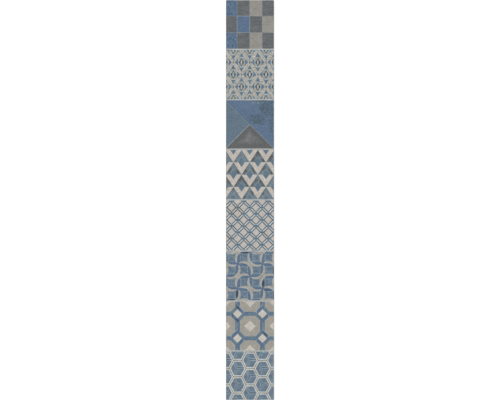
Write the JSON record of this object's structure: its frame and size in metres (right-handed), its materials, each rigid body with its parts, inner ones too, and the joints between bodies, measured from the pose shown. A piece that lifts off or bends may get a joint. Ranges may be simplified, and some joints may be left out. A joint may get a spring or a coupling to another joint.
{
  "type": "border tile",
  "caption": "Long narrow porcelain border tile with a matt glazed patchwork face, ground edges and a keyed back, bonded in a row to trim a tiled wall or floor",
  "frame": {"origin": "centre of the back, on the plane that the ribs and the plain band of the back rest on", "axes": "+X across the strip, +Y along the strip towards the checkerboard end, +Z out of the glazed face"},
  "size_m": [0.072, 0.6, 0.009],
  "materials": {
    "glazed_porcelain": "satin"
  },
  "bodies": {
    "root": {"border_tile": "glazed_porcelain"}
  },
  "joints": []
}
